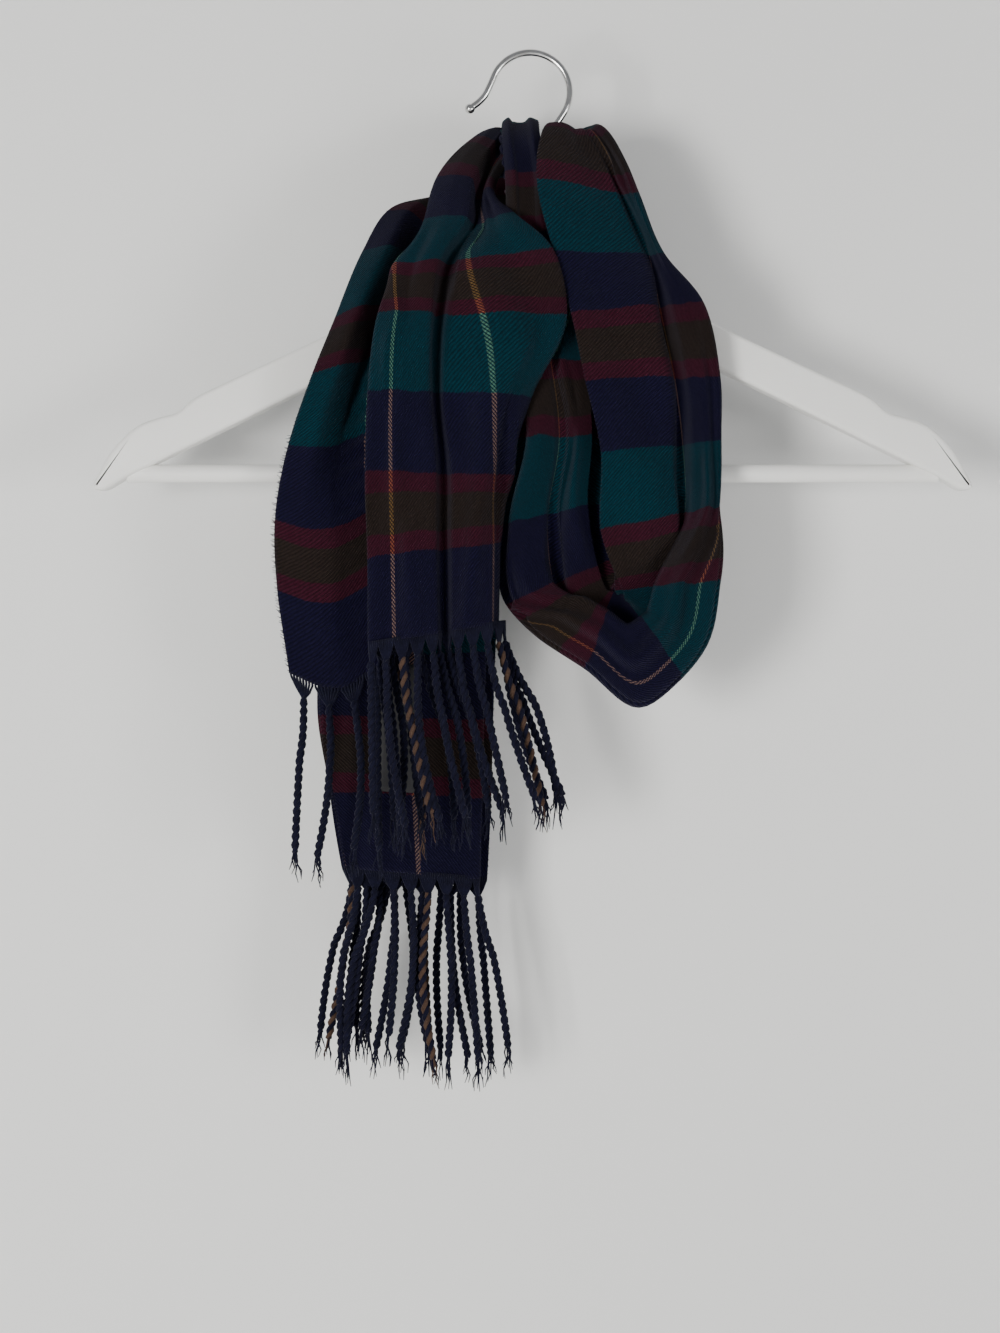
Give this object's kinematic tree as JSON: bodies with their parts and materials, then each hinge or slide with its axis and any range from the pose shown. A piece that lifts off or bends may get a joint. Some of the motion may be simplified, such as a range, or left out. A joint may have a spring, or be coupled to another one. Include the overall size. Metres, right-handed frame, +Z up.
{
  "type": "plaid scarf on clothes hanger",
  "caption": "Long plaid scarf with twisted fringe, wound over the neck of a wooden clothes hanger, tails hanging.",
  "frame": {"origin": "inside top of the hanger's hook, where the rail bears", "axes": "+Z up, +X to the right of the front view, the front with the wound scarf faces -Y"},
  "size_m": [0.451, 0.1032, 0.5224],
  "materials": {
    "tail_a": "twill weave",
    "neck": "twill weave",
    "loop_right": "twill weave",
    "loop_bottom": "twill weave",
    "loop_left": "twill weave",
    "crossing": "twill weave",
    "tail_b": "twill weave",
    "fringe_a": "twisted yarn",
    "fringe_b": "twisted yarn",
    "label": "woven satin",
    "arm_left": "painted white",
    "arm_right": "painted white",
    "bar": "painted white",
    "hook": "polished"
  },
  "bodies": {
    "root": {"tail_a": "tail_a", "neck": "neck", "loop_right": "loop_right", "loop_bottom": "loop_bottom", "loop_left": "loop_left", "crossing": "crossing", "tail_b": "tail_b", "fringe_a": "fringe_a", "fringe_b": "fringe_b", "label": "label", "arm_left": "arm_left", "arm_right": "arm_right", "bar": "bar", "hook": "hook"}
  },
  "joints": []
}
